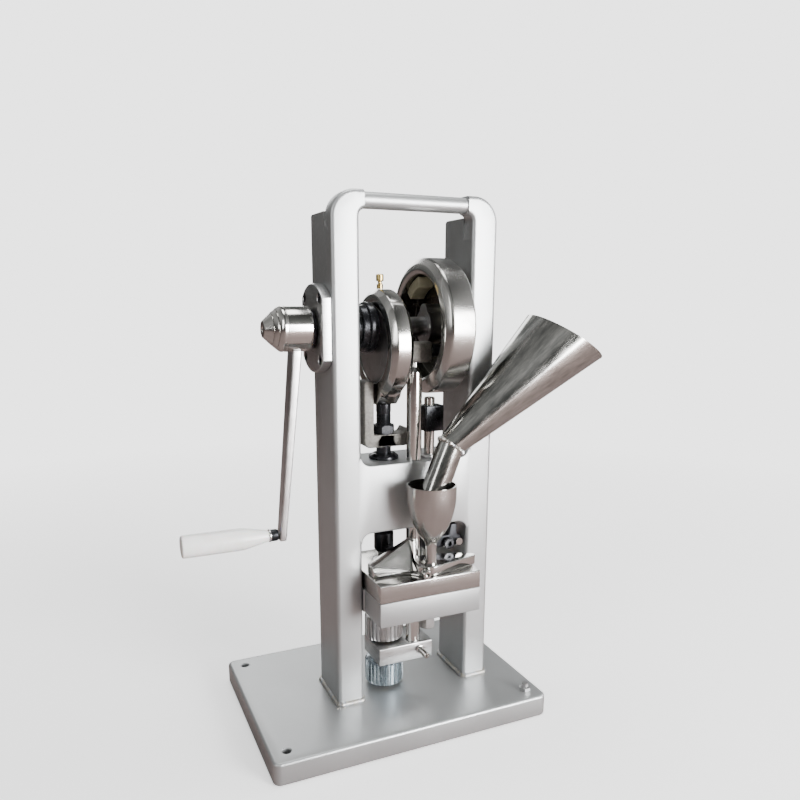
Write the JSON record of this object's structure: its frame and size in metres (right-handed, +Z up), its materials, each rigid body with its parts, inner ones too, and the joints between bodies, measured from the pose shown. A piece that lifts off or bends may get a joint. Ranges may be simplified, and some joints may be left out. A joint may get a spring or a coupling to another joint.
{
  "type": "hand-cranked tablet press",
  "caption": "Bench-top single-punch tablet press with a side crank, eccentric strap and cam drum over a die table with feed shoe, hopper cup and leaning funnel.",
  "frame": {"origin": "centre of the base plate's underside", "axes": "+X along the crankshaft away from the crank, +Y from the feed side to the rear, +Z up"},
  "size_m": [0.422, 0.2167, 0.537],
  "materials": {
    "silver_paint": "satin silver paint",
    "weld_bead": "rough weld bead",
    "polished_steel": "polished stainless steel",
    "machined_steel": "turned and milled steel",
    "black_steel": "blackened steel",
    "zinc_steel": "blue zinc plate",
    "brass": "dull brass",
    "grey_casting": "rough cast metal",
    "white_plastic": "smooth white plastic",
    "olive_paint": "dull olive paint"
  },
  "bodies": {
    "frame": {"base_plate": "silver_paint", "base_bolt": "machined_steel", "foot_weld_left": "weld_bead", "foot_weld_right": "weld_bead", "upright_left": "silver_paint", "upright_right": "silver_paint", "carry_handle": "silver_paint", "crossbeam": "silver_paint", "table_beam": "silver_paint", "die_table": "polished_steel", "die": "machined_steel", "shoe_pivot_pin": "machined_steel", "ram_guide_flange": "black_steel", "feed_shaft_bush": "machined_steel", "bearing_flange": "machined_steel", "flange_screw_1": "black_steel", "flange_screw_2": "black_steel", "flange_screw_3": "black_steel", "flange_screw_4": "black_steel", "bearing_bush_right": "machined_steel"},
    "crank": {"main_shaft": "machined_steel", "crank_hub": "polished_steel", "hub_collar": "black_steel", "crank_arm": "machined_steel", "grip_pin": "machined_steel", "grip_ferrule": "black_steel", "shaft_collar": "black_steel", "eccentric_sheave": "machined_steel", "drum_wheel": "polished_steel", "lift_cam": "machined_steel", "drum_segment": "olive_paint"},
    "grip": {"crank_grip": "white_plastic"},
    "strap": {"eccentric_strap": "polished_steel", "oil_cup": "brass"},
    "ram": {"ram_spindle": "black_steel", "lock_nut": "black_steel", "ram_yoke": "grey_casting", "punch_holder": "black_steel", "upper_punch": "polished_steel"},
    "lift": {"lift_bar": "machined_steel", "lift_clamp_screw": "polished_steel", "lift_rod": "polished_steel", "lift_head": "grey_casting", "lift_roller_pin": "machined_steel", "lift_roller": "black_steel", "lower_punch": "brass"},
    "upper_gear": {"upper_adjust_gear": "machined_steel"},
    "lower_gear": {"lower_adjust_gear": "zinc_steel"},
    "feed": {"feed_shaft": "polished_steel", "feed_shaft_nut": "machined_steel", "feed_follower": "black_steel", "feed_lever": "black_steel", "lever_screw": "black_steel", "lever_nut": "polished_steel"},
    "shoe": {"feed_shoe": "polished_steel", "shoe_screw": "polished_steel", "hopper_cup": "polished_steel"},
    "funnel": {"funnel_tube": "polished_steel", "funnel_cone": "polished_steel"}
  },
  "joints": [
    {"name": "crank_turn", "type": "hinge", "parent": "frame", "child": "crank", "pos_m": [0, -0.00675, 0.4115], "axis": [1, 0, 0], "continuous": true},
    {"name": "grip_spin", "type": "hinge", "parent": "crank", "child": "grip", "pos_m": [-0.16, -0.00675, 0.2097], "axis": [1, 0, 0], "continuous": true},
    {"name": "strap_turn", "type": "hinge", "parent": "crank", "child": "strap", "pos_m": [0.001, -0.00675, 0.3945], "axis": [1, 0, 0], "continuous": true},
    {"name": "ram_slide", "type": "slide", "parent": "frame", "child": "ram", "axis": [0, 0, 1], "range_m": [0, 0.02]},
    {"name": "lift_slide", "type": "slide", "parent": "frame", "child": "lift", "axis": [0, 0, 1], "range_m": [0, 0.008]},
    {"name": "upper_gear_turn", "type": "hinge", "parent": "lift", "child": "upper_gear", "pos_m": [0.001, -0.008, 0.092], "axis": [0, 0, 1], "continuous": true},
    {"name": "lower_gear_turn", "type": "hinge", "parent": "lift", "child": "lower_gear", "pos_m": [0.001, -0.008, 0.04], "axis": [0, 0, 1], "continuous": true},
    {"name": "feed_shaft_turn", "type": "hinge", "parent": "frame", "child": "feed", "pos_m": [0.0465, -0.022, 0.2], "axis": [0, 0, 1], "range_deg": [-6, 6]},
    {"name": "shoe_swing", "type": "hinge", "parent": "frame", "child": "shoe", "pos_m": [0.0275, -0.067, 0.17], "axis": [0, 0, 1], "range_deg": [-12, 0]},
    {"name": "funnel_lift", "type": "slide", "parent": "shoe", "child": "funnel", "axis": [0.3673, 0, 0.9301], "range_m": [0, 0.05]}
  ],
  "couplings": [
    {"joint": "strap_turn", "follows": "crank_turn", "ratio": -1}
  ]
}
